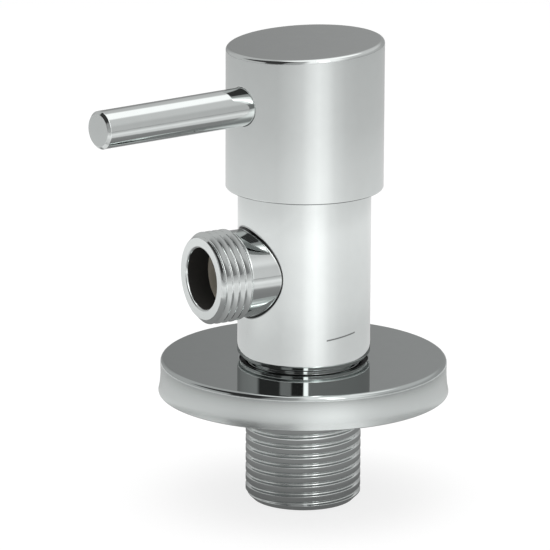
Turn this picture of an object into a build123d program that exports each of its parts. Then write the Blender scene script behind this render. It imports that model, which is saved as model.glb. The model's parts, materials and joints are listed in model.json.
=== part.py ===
from build123d import *
import os
from math import cos, pi, radians, sin, tan

# Angle valve with a quarter-turn ceramic cartridge and a pin lever.
# Z runs up the common axis of shank, barrel and handle, and z = 0 is the end of the shank.
# The outlet spout points along -Y. Lengths are in millimetres and angles in degrees.

# Inlet shank, G1/2 outside, screwed into the wall fitting
inlet_thread_diameter = 20.955
inlet_bore_diameter = 11.0
shank_length = 27.5
inlet_thread_length = 18.5
inlet_thread_pitch = 1.814
thread_lead = 1.2
groove_length = 1.5
groove_depth = 1.1
shank_neck_length = 1.6
plate_seat_drop = 0.25
shank_shoulder_height = 0.7
shank_shoulder_drop = 0.73

# Barrel, the visible round body
barrel_length = 33.5
barrel_wall = 1.7775
barrel_edge_radius = 0.3
barrel_mouth_chamfer = 0.4

# Outlet spout, G3/8 outside
outlet_thread_diameter = 16.662
outlet_bore_diameter = 11.3
outlet_bore_depth = 11.3
outlet_port_diameter = 9.2
outlet_height = 16.2
outlet_reach = 21.3
outlet_thread_length = 6.3
outlet_thread_pitch = 1.337
outlet_thread_depth = 0.75
outlet_lead = 0.9
outlet_neck_drop = 0.43
outlet_fillet = 0.7
spout_turn = -90.0

# Form of both outside threads: 55 degrees between flanks, crests flattened to a share of the pitch
thread_angle = 55.0
thread_crest_share = 0.2

# Cartridge chamber inside the barrel
seat_height = 6.0
chamber_diameter = 18.6
cartridge_thread_diameter = 20.5
cartridge_thread_length = 10.0
thread_fit = 0.03
sliding_gap = 0.02
running_fit = 0.04

# Cartridge housing, turned from hexagon bar
housing_skirt_diameter = 16.8
housing_wall = 1.0
housing_flange_thickness = 1.5
housing_flange_rim = 0.5
hexagon_size = 17.0
hexagon_height = 4.0
housing_nose_diameter = 12.6
housing_nose_height = 1.0
window_height = 3.8
window_arc = 100.0
ear_width = 3.0
ear_clearance = 0.1
gasket_thickness = 0.8

# Ceramic discs and the seal under them
seal_height = 2.2
seal_stand = 0.8
seal_width = 1.6
support_ring_wall = 0.5
support_ring_drop = 0.3
disc_thickness = 3.0
disc_side_gap = 0.05
disc_hub_radius = 1.8
disc_port_rim = 1.5
disc_port_arc = 80.0
driver_pocket_depth = 1.6

# Spindle
journal_diameter = 9.0
spindle_flange_thickness = 2.0
spindle_flange_gap = 0.3
slip_washer_thickness = 0.6
driver_arc = 30.0
driver_inner_radius = 3.4
driver_outer_radius = 5.5
driver_fit = 0.1
stop_arc = 30.0
stop_depth = 1.5
stop_turn = 180.0
handle_travel = 90.0
stop_play = 1.5
ring_section = 1.16
ring_groove_width = 1.9
ring_first_height = 3.0
ring_pitch = 3.6
spline_diameter = 8.0
spline_depth = 0.45
spline_teeth = 20
spline_length = 9.0
spline_fit = 0.05
clip_thickness = 1.0
clip_groove_depth = 0.8
clip_width = 2.1
clip_opening = 60.0

# Handle cap
cap_gap = 0.4
cap_wall = 1.8
cap_height = 26.5
cap_overlap = 2.8
cap_top_thickness = 3.6
cap_edge_radius = 0.75
cap_foot_radius = 0.3
cap_slant = 3.1
cap_slant_turn = -20.0
hub_diameter = 16.4
hub_clearance = 0.8

# Lever and its seat in the cap
lever_height = 16.6
lever_reach = 45.2
lever_root_diameter = 7.0
lever_tip_diameter = 6.8
lever_tip_bevel = 0.5
lever_seat_depth = 0.7
lever_stud_diameter = 5.0
lever_stud_length = 3.0
lever_hole_gap = 0.1
lever_hole_round = 0.45
lever_turn = 7.0

# Grub screw on the far side of the cap
grub_diameter = 5.0
grub_length = 4.0
grub_point_gap = 0.1
grub_point_chamfer = 0.8
grub_key = 2.5
grub_key_depth = 2.2
grub_access_gap = 0.3

# Escutcheon, pressed from thin sheet, and the grip ring in its collar
escutcheon_rim_diameter = 52.8
escutcheon_top_diameter = 52.2
escutcheon_waist = 0.13
escutcheon_height = 6.2
escutcheon_sheet = 0.8
escutcheon_edge_radius = 0.8
escutcheon_rim_height = 1.6
escutcheon_flare_bow = 0.26
escutcheon_drop = 1.2
collar_depth = 4.6
grip_wall = 1.1
grip_height = 3.6
grip_setback = 0.6

# Radii worked out from the diameters and walls above
inlet_radius = inlet_thread_diameter / 2
inlet_bore_radius = inlet_bore_diameter / 2
outlet_radius = outlet_thread_diameter / 2
outlet_bore_radius = outlet_bore_diameter / 2
outlet_port_radius = outlet_port_diameter / 2
outlet_neck_radius = outlet_radius - outlet_neck_drop
cartridge_thread_radius = cartridge_thread_diameter / 2
barrel_radius = cartridge_thread_radius + barrel_wall
chamber_radius = chamber_diameter / 2
housing_skirt_radius = housing_skirt_diameter / 2
pocket_radius = housing_skirt_radius - housing_wall
journal_radius = journal_diameter / 2
journal_bore_radius = journal_radius + running_fit
spindle_flange_radius = pocket_radius - spindle_flange_gap
stop_radius = pocket_radius - stop_depth
spline_radius = spline_diameter / 2
cap_bore_radius = barrel_radius + cap_gap
cap_radius = cap_bore_radius + cap_wall
hub_radius = hub_diameter / 2
lever_root_radius = lever_root_diameter / 2
lever_tip_radius = lever_tip_diameter / 2
lever_hole_radius = lever_root_radius + lever_hole_gap
grip_inner_radius = inlet_radius + running_fit
grip_outer_radius = grip_inner_radius + grip_wall
collar_radius = grip_outer_radius + escutcheon_sheet

# Heights above the end of the shank
barrel_bottom = shank_length
barrel_top = barrel_bottom + barrel_length
outlet_level = barrel_bottom + outlet_height
seat_level = barrel_bottom + seat_height
housing_bottom = seat_level + seal_stand
fixed_disc_bottom = seat_level + seal_height
fixed_disc_top = fixed_disc_bottom + disc_thickness
rotating_disc_bottom = fixed_disc_top + sliding_gap
rotating_disc_top = rotating_disc_bottom + disc_thickness
flange_bottom = rotating_disc_top + window_height
flange_top = flange_bottom + spindle_flange_thickness
washer_bottom = flange_top + sliding_gap
shoulder_level = washer_bottom + slip_washer_thickness
cartridge_thread_bottom = barrel_top - cartridge_thread_length
gasket_top = barrel_top + gasket_thickness
hexagon_bottom = gasket_top + housing_flange_thickness
hexagon_top = hexagon_bottom + hexagon_height
housing_top = hexagon_top + housing_nose_height
clip_bottom = housing_top + sliding_gap
clip_top = clip_bottom + clip_thickness
spline_bottom = clip_top + sliding_gap
spindle_top = spline_bottom + spline_length
hub_bottom = clip_top + hub_clearance
cap_bottom = barrel_top - cap_overlap
cap_top = cap_bottom + cap_height
cap_ceiling = cap_top - cap_top_thickness
lever_level = cap_bottom + lever_height
escutcheon_top = barrel_bottom - escutcheon_drop
escutcheon_bottom = escutcheon_top - escutcheon_height

# Directions round the axis, and seats along the lever
lever_azimuth = spout_turn + lever_turn
lever_seat = hub_radius - lever_seat_depth
past = 1.0


def turned(profile, start=0.0, arc=360.0):
    """Solid turned about Z from (radius, height) points, over an arc that begins at start."""
    outline = Polyline(*[(radius, 0, height) for radius, height in profile], close=True)
    return revolve(Rot(0, 0, start) * make_face(outline), Axis.Z, arc)


def ring(inner, outer, low, high, start=0.0, arc=360.0):
    """Flat ring, or a sector of one, between two radii and two heights."""
    return turned([(inner, low), (outer, low), (outer, high), (inner, high)], start, arc)


def aimed(shape, azimuth, level):
    """Lay a shape made along Z down, so that it points outwards at an azimuth and a height."""
    return Pos(0, 0, level) * Rot(0, 0, azimuth) * Rot(0, 90, 0) * shape


def thread_rings(radius, root, pitch, low, high):
    """Profile points of a thread drawn as rings at its pitch, centred between two heights."""
    crest = pitch * thread_crest_share
    groove = pitch - crest
    flank = (radius - root) * tan(radians(thread_angle / 2))
    count = int((high - low - crest) / pitch)
    margin = (high - low - count * pitch + crest) / 2
    points = [(radius, low)]
    for index in range(count):
        start = low + margin + index * pitch
        points += [
            (radius, start),
            (root, start + flank),
            (root, start + groove - flank),
            (radius, start + groove),
        ]
    return points + [(radius, high)]


def circles(shape, radius, level):
    """Round edges about Z of a given radius and height."""
    size = 2 * radius
    found = []
    for edge in shape.edges().filter_by(GeomType.CIRCLE):
        box = edge.bounding_box()
        level_fits = abs(box.center().Z - level) < 0.01 and box.size.Z < 0.01
        if level_fits and abs(box.size.X - size) < 0.01 and abs(box.size.Y - size) < 0.01:
            found.append(edge)
    return found


def cord_ring(radius, level, section):
    """Ring of round rubber cord."""
    return revolve(Plane.XZ * Pos(radius, level) * Circle(section / 2), Axis.Z)


def spline_bar(tip_radius, root_radius, low, high):
    """Bar with straight trapezoid teeth all round, pitched evenly."""
    step = 2 * pi / spline_teeth
    points = []
    for tooth in range(spline_teeth):
        for share, radius in ((0.0, root_radius), (0.25, root_radius), (0.4, tip_radius), (0.85, tip_radius)):
            angle = (tooth + share) * step
            points.append((radius * cos(angle), radius * sin(angle)))
    return extrude(Pos(0, 0, low) * make_face(Polyline(*points, close=True)), high - low)


def valve_body():
    """Brass body: threaded shank, barrel and spout in one, bored for the cartridge."""
    groove_radius = inlet_radius - groove_depth
    plate_seat_bottom = inlet_thread_length + groove_length
    plate_seat_top = shank_length - shank_neck_length
    plate_seat_radius = inlet_radius - plate_seat_drop
    shoulder_radius = barrel_radius - shank_shoulder_drop
    shoulder_bottom = barrel_bottom - shank_shoulder_height
    inlet_thread = thread_rings(
        inlet_radius, groove_radius, inlet_thread_pitch, thread_lead, inlet_thread_length)
    outside = turned([
        (0, 0),
        (inlet_radius - thread_lead, 0),
        *inlet_thread,
        (groove_radius, inlet_thread_length),
        (groove_radius, plate_seat_bottom),
        (plate_seat_radius, plate_seat_bottom),
        (plate_seat_radius, plate_seat_top),
        (groove_radius, plate_seat_top),
        (groove_radius, shoulder_bottom),
        (shoulder_radius, shoulder_bottom),
        (shoulder_radius, barrel_bottom),
        (barrel_radius, barrel_bottom),
        (barrel_radius, barrel_top),
        (0, barrel_top),
    ])
    outside = fillet(circles(outside, barrel_radius, barrel_bottom), barrel_edge_radius)
    neck_end = outlet_reach - outlet_thread_length
    outlet_thread = thread_rings(
        outlet_radius, outlet_radius - outlet_thread_depth, outlet_thread_pitch,
        neck_end + outlet_neck_drop, outlet_reach - outlet_lead)
    spout = turned([
        (0, 0),
        (outlet_neck_radius, 0),
        (outlet_neck_radius, neck_end),
        *outlet_thread,
        (outlet_radius - outlet_lead, outlet_reach),
        (0, outlet_reach),
    ])
    outside += aimed(spout, spout_turn, outlet_level)
    joint = [edge for edge in outside.edges() if edge.geom_type not in (GeomType.CIRCLE, GeomType.LINE)]
    outside = fillet(joint, outlet_fillet)
    thread_hole = cartridge_thread_radius + thread_fit
    step = thread_hole - chamber_radius
    inside = turned([
        (0, -past),
        (inlet_bore_radius, -past),
        (inlet_bore_radius, seat_level),
        (chamber_radius, seat_level),
        (chamber_radius, cartridge_thread_bottom - step),
        (thread_hole, cartridge_thread_bottom),
        (thread_hole, barrel_top - barrel_mouth_chamfer),
        (thread_hole + barrel_mouth_chamfer + past, barrel_top + past),
        (0, barrel_top + past),
    ])
    outlet_bore = ring(0, outlet_bore_radius, outlet_reach - outlet_bore_depth, outlet_reach + past)
    outlet_port = ring(0, outlet_port_radius, 0, outlet_reach)
    return outside - inside - aimed(outlet_bore + outlet_port, spout_turn, outlet_level)


def headwork_housing():
    """Brass cartridge housing: ported skirt, thread, flange, hexagon and nose."""
    flange_radius = cartridge_thread_radius + housing_flange_rim
    neck_radius = cartridge_thread_radius - thread_lead
    outside = turned([
        (0, housing_bottom),
        (housing_skirt_radius, housing_bottom),
        (housing_skirt_radius, cartridge_thread_bottom),
        (neck_radius, cartridge_thread_bottom),
        (cartridge_thread_radius, cartridge_thread_bottom + thread_lead),
        (cartridge_thread_radius, barrel_top - thread_lead),
        (neck_radius, barrel_top),
        (neck_radius, gasket_top),
        (flange_radius, gasket_top),
        (flange_radius, hexagon_bottom),
        (0, hexagon_bottom),
    ])
    corner = hexagon_size / 2 / cos(radians(30))
    hexagon = RegularPolygon(hexagon_size / 2, 6, major_radius=False)
    nut = extrude(Pos(0, 0, hexagon_bottom) * hexagon, hexagon_height)
    corner_cone = turned([
        (0, hexagon_bottom),
        (corner, hexagon_bottom),
        (corner, hexagon_top - (corner - hexagon_size / 2) * tan(radians(30))),
        (hexagon_size / 2, hexagon_top),
        (0, hexagon_top),
    ])
    nose = ring(0, housing_nose_diameter / 2, hexagon_top, housing_top)
    outside = outside + (nut & corner_cone) + nose
    inside = turned([
        (0, housing_bottom - past),
        (pocket_radius, housing_bottom - past),
        (pocket_radius, shoulder_level),
        (journal_bore_radius, shoulder_level),
        (journal_bore_radius, housing_top + past),
        (0, housing_top + past),
    ])
    stop = ring(stop_radius, pocket_radius + housing_wall / 2, flange_bottom, shoulder_level,
                stop_turn - stop_arc / 2, stop_arc)
    housing = outside - inside + stop
    for side in (spout_turn, spout_turn + 180):
        housing -= ring(stop_radius, housing_skirt_radius + past, rotating_disc_top, flange_bottom,
                        side - window_arc / 2, window_arc)
    slot = Pos(0, 0, (housing_bottom + fixed_disc_top) / 2) * Box(
        2 * (housing_skirt_radius + past), ear_width + 2 * ear_clearance, fixed_disc_top - housing_bottom)
    return housing - slot


def headwork_gasket():
    """Flat ring sealed between the barrel's rim and the housing flange."""
    inner = cartridge_thread_radius - thread_lead + running_fit
    return ring(inner, cartridge_thread_radius + housing_flange_rim, barrel_top, gasket_top)


def lip_seal():
    """Rubber ring that seals the fixed disc to the seat in the body."""
    return ring(pocket_radius - seal_width, pocket_radius, seat_level, fixed_disc_bottom)


def seal_support_ring():
    """Thin ring that keeps the seal from being sucked inwards."""
    outer = pocket_radius - seal_width
    return ring(outer - support_ring_wall, outer, seat_level + support_ring_drop, fixed_disc_bottom)


def disc_port(low, high, outer, centre):
    """One of the two water ways through a disc."""
    return ring(disc_hub_radius, outer, low, high, centre - disc_port_arc / 2, disc_port_arc)


def fixed_disc():
    """Ceramic disc with two ports and two ears that key it in the housing."""
    radius = pocket_radius - disc_side_gap
    disc = ring(0, radius, fixed_disc_bottom, fixed_disc_top)
    ears = Pos(0, 0, (fixed_disc_bottom + fixed_disc_top) / 2) * Box(
        2 * housing_skirt_radius, ear_width, disc_thickness)
    disc += ears & ring(0, housing_skirt_radius - disc_side_gap, fixed_disc_bottom, fixed_disc_top)
    for side in (spout_turn, spout_turn + 180):
        disc -= disc_port(fixed_disc_bottom - past, fixed_disc_top + past, radius - disc_port_rim, side)
    return disc


def rotating_disc():
    """Ceramic disc with open ports and two blind pockets for the spindle's driver."""
    disc = ring(0, spindle_flange_radius, rotating_disc_bottom, rotating_disc_top)
    pocket_arc = driver_arc + 4 * driver_fit
    for side in (spout_turn, spout_turn + 180):
        disc -= disc_port(rotating_disc_bottom - past, rotating_disc_top + past,
                          spindle_flange_radius + past, side)
        disc -= ring(driver_inner_radius - driver_fit, driver_outer_radius + driver_fit,
                     rotating_disc_top - driver_pocket_depth, rotating_disc_top + past,
                     side + 90 - pocket_arc / 2, pocket_arc)
    return disc


def slip_washer():
    """Plastic washer between the spindle flange and the housing shoulder."""
    return ring(journal_bore_radius, stop_radius - running_fit, washer_bottom, shoulder_level)


def ring_level(index):
    """Height of a spindle sealing ring, counted from the shoulder upwards."""
    return shoulder_level + ring_first_height + index * ring_pitch


def spindle():
    """Spindle: driver, stop flange, journal with two grooves, clip groove and spline."""
    outside = ring(0, spindle_flange_radius, flange_bottom, flange_top)
    outside += ring(0, journal_radius, flange_top, spline_bottom)
    root_radius = spline_radius - spline_depth
    outside += spline_bar(spline_radius, root_radius, spline_bottom, spindle_top)
    for side in (spout_turn + 90, spout_turn + 270):
        outside += ring(driver_inner_radius, driver_outer_radius,
                        rotating_disc_top - driver_pocket_depth + driver_fit, flange_bottom,
                        side - driver_arc / 2, driver_arc)
    for index in (0, 1):
        middle = ring_level(index)
        outside -= ring(journal_radius - ring_section, journal_radius + past,
                        middle - ring_groove_width / 2, middle + ring_groove_width / 2)
    outside -= ring(journal_radius - clip_groove_depth, journal_radius + past, clip_bottom, clip_top)
    cut_start = stop_turn - stop_arc / 2 - stop_play
    cut_arc = stop_arc + handle_travel + 2 * stop_play
    outside -= ring(stop_radius - running_fit, spindle_flange_radius + past,
                    flange_bottom, flange_top, cut_start, cut_arc)
    return outside


def spindle_o_ring(index):
    """Rubber cord ring squeezed between a spindle groove and the housing bore."""
    return cord_ring(journal_radius - ring_section / 2, ring_level(index), ring_section)


def retaining_clip():
    """Open spring ring in the spindle's top groove, resting on the housing nose."""
    inner = journal_radius - clip_groove_depth
    return ring(inner, inner + clip_width, clip_bottom, clip_top,
                lever_azimuth + clip_opening / 2, 360 - clip_opening)


def handle_cap():
    """Hollow cast cap: round wall, slanted top and a splined hub for the spindle."""
    outside = ring(0, cap_radius, cap_bottom, cap_top + cap_radius * tan(radians(cap_slant)) + past)
    high_side = lever_azimuth + 180 + cap_slant_turn
    top_plane = Plane(Pos(0, 0, cap_top) * Rot(0, 0, high_side) * Rot(0, -cap_slant, 0))
    outside = split(outside, bisect_by=top_plane, keep=Keep.BOTTOM)
    outside = fillet(outside.edges().filter_by(GeomType.ELLIPSE), cap_edge_radius)
    outside = fillet(circles(outside, cap_radius, cap_bottom), cap_foot_radius)
    lever_bore = aimed(ring(0, lever_hole_radius, lever_seat, cap_radius + past), lever_azimuth, lever_level)
    outside -= lever_bore
    mouth = [edge for edge in outside.edges()
             if edge.geom_type not in (GeomType.CIRCLE, GeomType.LINE, GeomType.ELLIPSE)
             and edge.bounding_box().size.Z < 4 * lever_hole_radius]
    outside = fillet(mouth, lever_hole_round)
    hollow = ring(0, cap_bore_radius, cap_bottom - past, cap_ceiling)
    hub = ring(0, hub_radius, hub_bottom, cap_ceiling)
    cap = outside - (hollow - hub)
    socket_root = spline_radius - spline_depth + spline_fit
    cap -= spline_bar(spline_radius + spline_fit, socket_root, hub_bottom - past, spindle_top + spline_fit)
    stud_hole = ring(0, lever_stud_diameter / 2 + thread_fit, 0, lever_seat + past)
    cap -= aimed(stud_hole, lever_azimuth, lever_level)
    cap -= lever_bore
    grub_hole = ring(0, grub_diameter / 2 + thread_fit, 0, hub_radius + past)
    access_hole = ring(0, grub_diameter / 2 + grub_access_gap, hub_radius, cap_radius + past)
    return cap - aimed(grub_hole + access_hole, lever_azimuth + 180, lever_level)


def lever_rod():
    """Slightly tapered rod with a bevelled tip and a threaded stud at its root."""
    rod = turned([
        (0, lever_seat - lever_stud_length),
        (lever_stud_diameter / 2, lever_seat - lever_stud_length),
        (lever_stud_diameter / 2, lever_seat),
        (lever_root_radius, lever_seat),
        (lever_tip_radius, lever_reach - lever_tip_bevel),
        (lever_tip_radius - lever_tip_bevel, lever_reach),
        (0, lever_reach),
    ])
    return aimed(rod, lever_azimuth, lever_level)


def handle_grub_screw():
    """Hexagon-socket grub screw that pinches the spline."""
    start = spline_radius + grub_point_gap
    end = start + grub_length
    radius = grub_diameter / 2
    screw = turned([
        (0, start),
        (radius - grub_point_chamfer, start),
        (radius, start + grub_point_chamfer),
        (radius, end),
        (0, end),
    ])
    key = RegularPolygon(grub_key / 2, 6, major_radius=False)
    screw -= extrude(Pos(0, 0, end - grub_key_depth) * key, grub_key_depth + past)
    return aimed(screw, lever_azimuth + 180, lever_level)


def escutcheon():
    """Pressed wall plate: flat top, waisted skirt with a flared rim, and an inner collar."""
    top_radius = escutcheon_top_diameter / 2
    rim_radius = escutcheon_rim_diameter / 2
    rim_top = escutcheon_bottom + escutcheon_rim_height
    waist_level = (escutcheon_top + rim_top) / 2
    waist_radius = top_radius - escutcheon_waist
    flare_middle = (rim_top + escutcheon_bottom) / 2
    flare_bend = escutcheon_flare_bow * (rim_radius - top_radius)
    collar_bottom = escutcheon_top - collar_depth

    def skirt(inset, top):
        """Solid of revolution inside the skirt line, moved in by a wall."""
        edge = top_radius - inset
        line = Line((0, 0, top), (edge, 0, top))
        side = ThreePointArc((edge, 0, top), (waist_radius - inset, 0, waist_level), (edge, 0, rim_top))
        flare = Bezier((edge, 0, rim_top), (edge + flare_bend, 0, flare_middle),
                       (rim_radius - inset, 0, escutcheon_bottom))
        foot = Line((rim_radius - inset, 0, escutcheon_bottom), (0, 0, escutcheon_bottom))
        back = Line((0, 0, escutcheon_bottom), (0, 0, top))
        return revolve(make_face(line + side + flare + foot + back), Axis.Z)

    shell = skirt(0.0, escutcheon_top)
    shell = fillet(circles(shell, top_radius, escutcheon_top), escutcheon_edge_radius)
    shell -= skirt(escutcheon_sheet, escutcheon_top - escutcheon_sheet)
    shell += ring(0, collar_radius, collar_bottom, escutcheon_top)
    return shell - ring(0, grip_outer_radius, collar_bottom - past, escutcheon_top + past)


def escutcheon_ring():
    """Rubber ring in the collar, gripping the shank so that the plate stays where it is put."""
    top = escutcheon_top - grip_setback
    return ring(grip_inner_radius, grip_outer_radius, top - grip_height, top)


parts = {
    "valve_body": valve_body(),
    "headwork_housing": headwork_housing(),
    "headwork_gasket": headwork_gasket(),
    "lip_seal": lip_seal(),
    "seal_support_ring": seal_support_ring(),
    "fixed_disc": fixed_disc(),
    "rotating_disc": rotating_disc(),
    "slip_washer": slip_washer(),
    "spindle": spindle(),
    "spindle_o_ring_lower": spindle_o_ring(0),
    "spindle_o_ring_upper": spindle_o_ring(1),
    "retaining_clip": retaining_clip(),
    "handle_cap": handle_cap(),
    "lever_rod": lever_rod(),
    "handle_grub_screw": handle_grub_screw(),
    "escutcheon": escutcheon(),
    "escutcheon_ring": escutcheon_ring(),
}

os.makedirs("parts", exist_ok=True)
for name, solid in parts.items():
    export_step(solid, "parts/" + name + ".step")
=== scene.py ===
# %% [markdown]
# # An angle valve in bright chrome
#
# This lesson dresses a small bathroom valve for its picture. A solid model of every piece is loaded first
# and stays where it is. The pieces that show are then made again as smooth surfaces, because chrome is a
# mirror and shows every facet. Lengths are in metres, and small ones are named in millimetres.

# %% Load the frame
import json
from math import ceil, cos, pi, radians, sin, tan

import bmesh
import bpy
import numpy as np
from mathutils import Matrix, Vector


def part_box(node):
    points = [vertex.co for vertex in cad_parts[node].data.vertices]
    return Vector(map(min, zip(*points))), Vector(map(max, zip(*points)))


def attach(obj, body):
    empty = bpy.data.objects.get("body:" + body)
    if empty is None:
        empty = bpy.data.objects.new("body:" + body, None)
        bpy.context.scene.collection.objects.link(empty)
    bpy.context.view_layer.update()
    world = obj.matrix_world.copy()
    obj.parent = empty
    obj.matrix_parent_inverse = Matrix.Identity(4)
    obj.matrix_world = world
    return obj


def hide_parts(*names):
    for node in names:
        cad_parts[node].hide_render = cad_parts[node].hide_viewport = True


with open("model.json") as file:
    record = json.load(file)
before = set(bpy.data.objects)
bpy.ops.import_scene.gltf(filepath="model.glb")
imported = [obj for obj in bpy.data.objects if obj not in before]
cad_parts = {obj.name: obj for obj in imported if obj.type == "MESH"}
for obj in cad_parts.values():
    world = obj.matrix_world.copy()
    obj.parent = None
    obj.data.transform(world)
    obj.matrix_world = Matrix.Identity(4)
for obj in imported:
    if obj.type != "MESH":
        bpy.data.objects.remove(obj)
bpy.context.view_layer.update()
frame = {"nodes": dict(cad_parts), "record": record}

# %% [markdown]
# The record's mounts give the threads and bores, and the boxes of the nodes give the outer faces. Reading
# both keeps the new surfaces on the solids that they stand for.

# %% Sizes from the frame
MM = 0.001
mounts = {mount["name"]: mount for mount in frame["record"]["mounts"]}


def mount_radius(name):
    """Radius of a round mount, in metres."""
    return mounts[name]["dims"]["r_mm"] * MM


body_low, body_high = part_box("valve_body")
cap_low, cap_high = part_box("handle_cap")
plate_low, plate_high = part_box("escutcheon")
_, grip_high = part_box("escutcheon_ring")

shank_radius = mount_radius("inlet_thread")
shank_bore = mount_radius("inlet_bore")
seat_level = mounts["inlet_bore"]["dims"]["length_mm"] * MM
barrel_radius = body_high.x
barrel_top = body_high.z
spout_radius = mount_radius("outlet_thread")
spout_bore = mount_radius("outlet_bore")
spout_level = mounts["outlet_bore"]["pos_m"][2]
spout_reach = -body_low.y
spout_azimuth = radians(-90)
lever_azimuth = radians(-83)
print("barrel", round(2 * barrel_radius / MM, 2), "mm across,", round(barrel_top / MM, 2), "mm high")

# %% [markdown]
# A turned part is a profile carried round an axis. A polished corner is never quite sharp, so the profile
# helper replaces each corner by an arc. It also puts a point close to each end of a long straight run.
# Shading is blended between points, and those extra ones keep a mirror's flat part flat.

# %% Profiles and surfaces of revolution
def rounded(corners, per_turn=56, hold=0.06 * MM):
    """Profile through corners given as (radius, height), or (radius, height, rounding).

    A rounded corner is an arc that touches both of its straight runs. Its centre lies on the line that
    halves the corner, at rounding / sin(half angle), and it touches each run at rounding / tan(half angle).
    """
    runs = []
    for index, (radius, height, *given) in enumerate(corners):
        here = np.array((radius, height))
        if not given:
            runs.append(here[None])
            continue
        rounding = given[0]
        before = np.array(corners[index - 1][:2]) - here
        after = np.array(corners[index + 1][:2]) - here
        before /= np.linalg.norm(before)
        after /= np.linalg.norm(after)
        half = np.arccos(np.clip(before @ after, -1, 1)) / 2
        inwards = (before + after) / np.linalg.norm(before + after)
        centre = here + inwards * rounding / sin(half)
        first, last = (here + way * rounding / tan(half) - centre for way in (before, after))
        start, end = np.arctan2(first[1], first[0]), np.arctan2(last[1], last[0])
        sweep = (end - start + pi) % (2 * pi) - pi
        angles = start + sweep * np.linspace(0, 1, ceil(abs(sweep) / (2 * pi) * per_turn) + 1)
        runs.append(centre + rounding * np.stack((np.cos(angles), np.sin(angles)), axis=1))
    points = [runs[0]]
    for run in runs[1:]:
        gap = run[0] - points[-1][-1]
        length = np.linalg.norm(gap)
        if length > 8 * hold:
            points.append(points[-1][-1] + np.outer((hold / length, 1 - hold / length), gap))
        points.append(run)
    return np.concatenate(points)


def line(radii, heights):
    """Profile from radii and heights, either of which may be one number."""
    return np.stack(np.broadcast_arrays(radii, heights), axis=-1)


def spin(profile, angles):
    """Surface of revolution about Z: the point (radius cos a, radius sin a, height) at every angle a."""
    radius = profile[:, :1]
    height = np.broadcast_to(profile[:, 1:], (len(profile), len(angles)))
    return np.stack((radius * np.cos(angles), radius * np.sin(angles), height), axis=-1)


def aim(points, azimuth, level):
    """Lays a shape made round +Z on its side: its Z runs outwards at an azimuth, its Y stays upwards."""
    along = np.array((cos(azimuth), sin(azimuth), 0))
    across = np.array((-sin(azimuth), cos(azimuth), 0))
    return points @ np.stack((across, (0, 0, 1), along)) + (0, 0, level)


# %% [markdown]
# Every piece is a list of sheets, which are grids of points that may close on themselves. The sheets of one
# piece share the points along their borders, so they are welded into one closed skin at the end.

# %% Sheets into pieces
def placed(name, data):
    """New object in the scene, at the origin."""
    thing = bpy.data.objects.new(name, data)
    bpy.context.scene.collection.objects.link(thing)
    return thing


def quads(rows, columns, closed):
    """Corner numbers of a grid's faces. The last column meets the first one if the sheet is closed."""
    corner = np.arange(rows * columns).reshape(rows, columns)
    beside = np.roll(corner, -1, axis=1)
    if not closed:
        corner = corner[:, :-1]
        beside = beside[:, :-1]
    return np.stack((corner[:-1], beside[:-1], beside[1:], corner[1:]), axis=-1).reshape(-1, 4)


def sheet(points, closed=True, finish=0):
    """One grid of a piece, with the number of the material that it gets."""
    return points, closed, finish


def weld(name, sheets, materials):
    """One closed mesh object from sheets: faces without area are dropped, and borders are merged."""
    corners, faces, finishes, first = [], [], [], 0
    for points, closed, finish in sheets:
        rows, columns = points.shape[:2]
        flat = points.reshape(-1, 3)
        grid = quads(rows, columns, closed)
        spread = np.cross(flat[grid[:, 2]] - flat[grid[:, 0]], flat[grid[:, 3]] - flat[grid[:, 1]])
        grid = grid[np.linalg.norm(spread, axis=1) > 1e-14]
        corners.append(flat)
        faces.append(grid + first)
        finishes.append(np.full(len(grid), finish))
        first += len(flat)
    mesh = bpy.data.meshes.new(name)
    mesh.from_pydata(np.concatenate(corners), [], np.concatenate(faces))
    for material in materials:
        mesh.materials.append(material)
    mesh.polygons.foreach_set("material_index", np.concatenate(finishes).astype(np.int32))
    work = bmesh.new()
    work.from_mesh(mesh)
    bmesh.ops.remove_doubles(work, verts=work.verts, dist=0.0005 * MM)
    bmesh.ops.recalc_face_normals(work, faces=work.faces)
    open_edges = sum(not edge.is_manifold for edge in work.edges)
    work.to_mesh(mesh)
    work.free()
    mesh.polygons.foreach_set("use_smooth", np.ones(len(mesh.polygons), bool))
    print(name, "has", len(mesh.polygons), "faces and", open_edges, "open edges")
    return placed(name, mesh)


# %% [markdown]
# The shank and the spout carry pipe thread, a V of 55 degrees with arcs at its roots. Polishing and plating
# have left its crests flat, broadly so on the shank. The grid's rows climb with the helix, so each edge of a
# crest is a row and stays crisp. At both ends the heights are held back to a level ring, where the rows that
# would run past it fall together and vanish in the weld.

# %% Pipe thread
THREAD_ARC = 0.137329
THREAD_DEPTH = 0.640327
THREAD_LEAN = radians(27.5)
THREAD_MEETING = THREAD_ARC * cos(THREAD_LEAN)
CREST_SOFTNESS = 0.05


def soft_min(one, other, width=0.06 * MM):
    """The smaller of two lengths, with a small rounding of that width where they cross."""
    share = np.clip(0.5 + 0.5 * (other - one) / width, 0, 1)
    return other + (one - other) * share - width * share * (1 - share)


def thread_height(place, flat):
    """Height of a 55 degree thread above its root. Height and place count in pitches, crests lie at 0.

    The flank is a straight line, depth / 2 + (1/4 - place) / tan(27.5 degrees). The crest is cut level at
    the height where it is as wide as flat, and the cut is softened.
    """
    share = np.abs((place + 0.5) % 1 - 0.5)
    root = THREAD_ARC - np.sqrt(np.maximum(THREAD_ARC**2 - (0.5 - share) ** 2, 0))
    flank = THREAD_DEPTH / 2 + (0.25 - share) / tan(THREAD_LEAN)
    level = THREAD_DEPTH / 2 + (0.25 - flat / 2) / tan(THREAD_LEAN)
    return soft_min(np.where(share > 0.5 - THREAD_MEETING, root, flank), level, CREST_SOFTNESS)


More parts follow.
